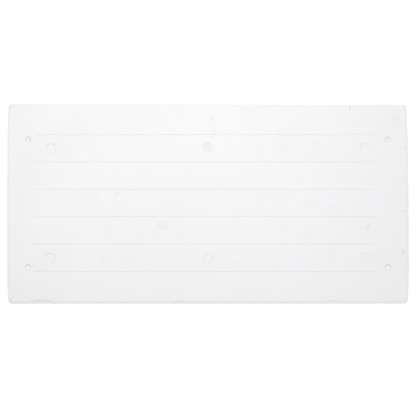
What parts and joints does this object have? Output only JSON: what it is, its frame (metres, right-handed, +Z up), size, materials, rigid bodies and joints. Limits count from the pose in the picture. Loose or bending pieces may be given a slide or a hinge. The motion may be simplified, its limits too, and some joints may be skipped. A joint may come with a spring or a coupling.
{
  "type": "diving board",
  "caption": "Short rigid white diving board with bowed ends, lengthwise drainage grooves, countersunk corner holes, capped stand-bolt holes and rubber seat pads.",
  "frame": {"origin": "on the ground under the middle of the board, at the foot of the rubber pads", "axes": "+X along the board's length, +Y across it, +Z up out of the standing face"},
  "size_m": [1.004, 0.5, 0.049],
  "materials": {
    "shell_white": "satin white moulded shell",
    "cap_white": "white snap-in cap, fine matt",
    "laminate": "bare glass-fibre laminate under clear resin",
    "timber": "planed softwood, glued",
    "dowel": "turned beech",
    "alloy": "turned",
    "stainless": "drawn tube, brushed",
    "rubber": "moulded black rubber"
  },
  "bodies": {
    "board": {"top_shell": "shell_white", "bottom_skin": "laminate", "core_stave_1": "timber", "core_stave_2": "timber", "core_stave_3": "timber", "core_stave_4": "timber", "core_stave_5": "timber", "core_stave_6": "timber", "core_stave_7": "timber", "end_block_left": "timber", "end_block_right": "timber", "dowels_left": "dowel", "dowels_right": "dowel", "bolt_sleeve_1": "alloy", "bolt_sleeve_2": "alloy", "bolt_sleeve_3": "alloy", "bolt_sleeve_4": "alloy", "bolt_sleeve_5": "alloy", "bolt_sleeve_6": "alloy", "corner_sleeve_1": "stainless", "corner_sleeve_2": "stainless", "corner_sleeve_3": "stainless", "corner_sleeve_4": "stainless", "seat_pad_1": "rubber", "seat_pad_2": "rubber", "seat_pad_3": "rubber", "seat_pad_4": "rubber", "seat_pad_5": "rubber", "seat_pad_6": "rubber"},
    "cap_1": {"bolt_cap_1": "cap_white"},
    "cap_2": {"bolt_cap_2": "cap_white"},
    "cap_3": {"bolt_cap_3": "cap_white"},
    "cap_4": {"bolt_cap_4": "cap_white"},
    "cap_5": {"bolt_cap_5": "cap_white"},
    "cap_6": {"bolt_cap_6": "cap_white"}
  },
  "joints": [
    {"name": "cap_1_lift", "type": "slide", "parent": "board", "child": "cap_1", "axis": [0, 0, 1], "range_m": [0, 0.02]},
    {"name": "cap_2_lift", "type": "slide", "parent": "board", "child": "cap_2", "axis": [0, 0, 1], "range_m": [0, 0.02]},
    {"name": "cap_3_lift", "type": "slide", "parent": "board", "child": "cap_3", "axis": [0, 0, 1], "range_m": [0, 0.02]},
    {"name": "cap_4_lift", "type": "slide", "parent": "board", "child": "cap_4", "axis": [0, 0, 1], "range_m": [0, 0.02]},
    {"name": "cap_5_lift", "type": "slide", "parent": "board", "child": "cap_5", "axis": [0, 0, 1], "range_m": [0, 0.02]},
    {"name": "cap_6_lift", "type": "slide", "parent": "board", "child": "cap_6", "axis": [0, 0, 1], "range_m": [0, 0.02]}
  ]
}
